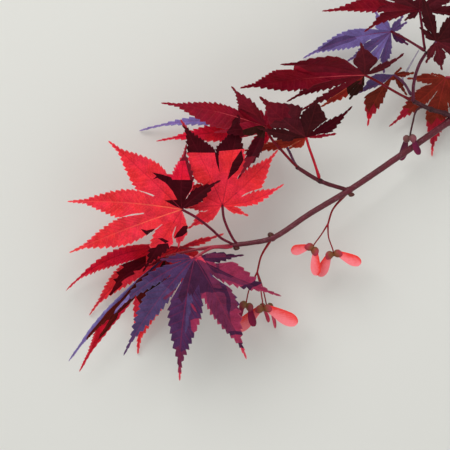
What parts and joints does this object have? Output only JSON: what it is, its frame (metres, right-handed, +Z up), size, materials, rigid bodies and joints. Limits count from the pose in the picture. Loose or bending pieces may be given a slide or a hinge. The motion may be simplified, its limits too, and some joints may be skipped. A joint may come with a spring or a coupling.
{
  "type": "cut sprig of red japanese maple",
  "caption": "Cut sprig of red Japanese maple lying on a level surface: one woody stem with side shoots, lobed toothed leaves and hanging pairs of winged fruit.",
  "frame": {"origin": "on the surface that the sprig lies on, under the middle of its bounding box", "axes": "+Z up from the surface; +X towards the cut end's side along the sprig's greatest extent; the picture's picture is seen from straight above with its top towards +Y"},
  "size_m": [0.1996, 0.1862, 0.0454],
  "materials": {
    "bark": "smooth young bark, satin",
    "dry_bark": "dry and matt",
    "leaf_scarlet": "thin leaf, soft sheen",
    "leaf_crimson": "thin leaf, soft sheen",
    "leaf_burgundy": "thin leaf, soft sheen",
    "leaf_russet": "thin leaf, soft sheen",
    "leaf_purple": "thin leaf, soft sheen",
    "leaf_lavender": "thin leaf, soft sheen",
    "fruit_stalk": "smooth green stalk, satin",
    "fruit": "papery wing and firm nutlet, satin"
  },
  "bodies": {
    "root": {"main_stem": "bark", "middle_shoot": "bark", "upper_shoot": "bark", "top_shoot": "bark", "dry_twig": "dry_bark", "left_scarlet_leaf": "leaf_scarlet", "right_scarlet_leaf": "leaf_scarlet", "front_purple_leaf": "leaf_purple", "under_left_leaf": "leaf_scarlet", "edge_lavender_leaf": "leaf_lavender", "middle_left_leaf": "leaf_crimson", "middle_back_leaf": "leaf_crimson", "middle_right_leaf": "leaf_burgundy", "upper_front_leaf": "leaf_crimson", "upper_lavender_leaf": "leaf_lavender", "top_crimson_leaf": "leaf_crimson", "right_burgundy_leaf": "leaf_burgundy", "right_russet_leaf": "leaf_russet", "edge_russet_leaf": "leaf_russet", "middle_fruit_stalk": "fruit_stalk", "lower_fruit_stalk": "fruit_stalk", "upper_fruit_stalk": "fruit_stalk", "middle_fruit_left": "fruit", "middle_fruit_right": "fruit", "lower_fruit_left": "fruit", "lower_fruit_front": "fruit", "lower_fruit_back": "fruit", "upper_fruit": "fruit"}
  },
  "joints": []
}
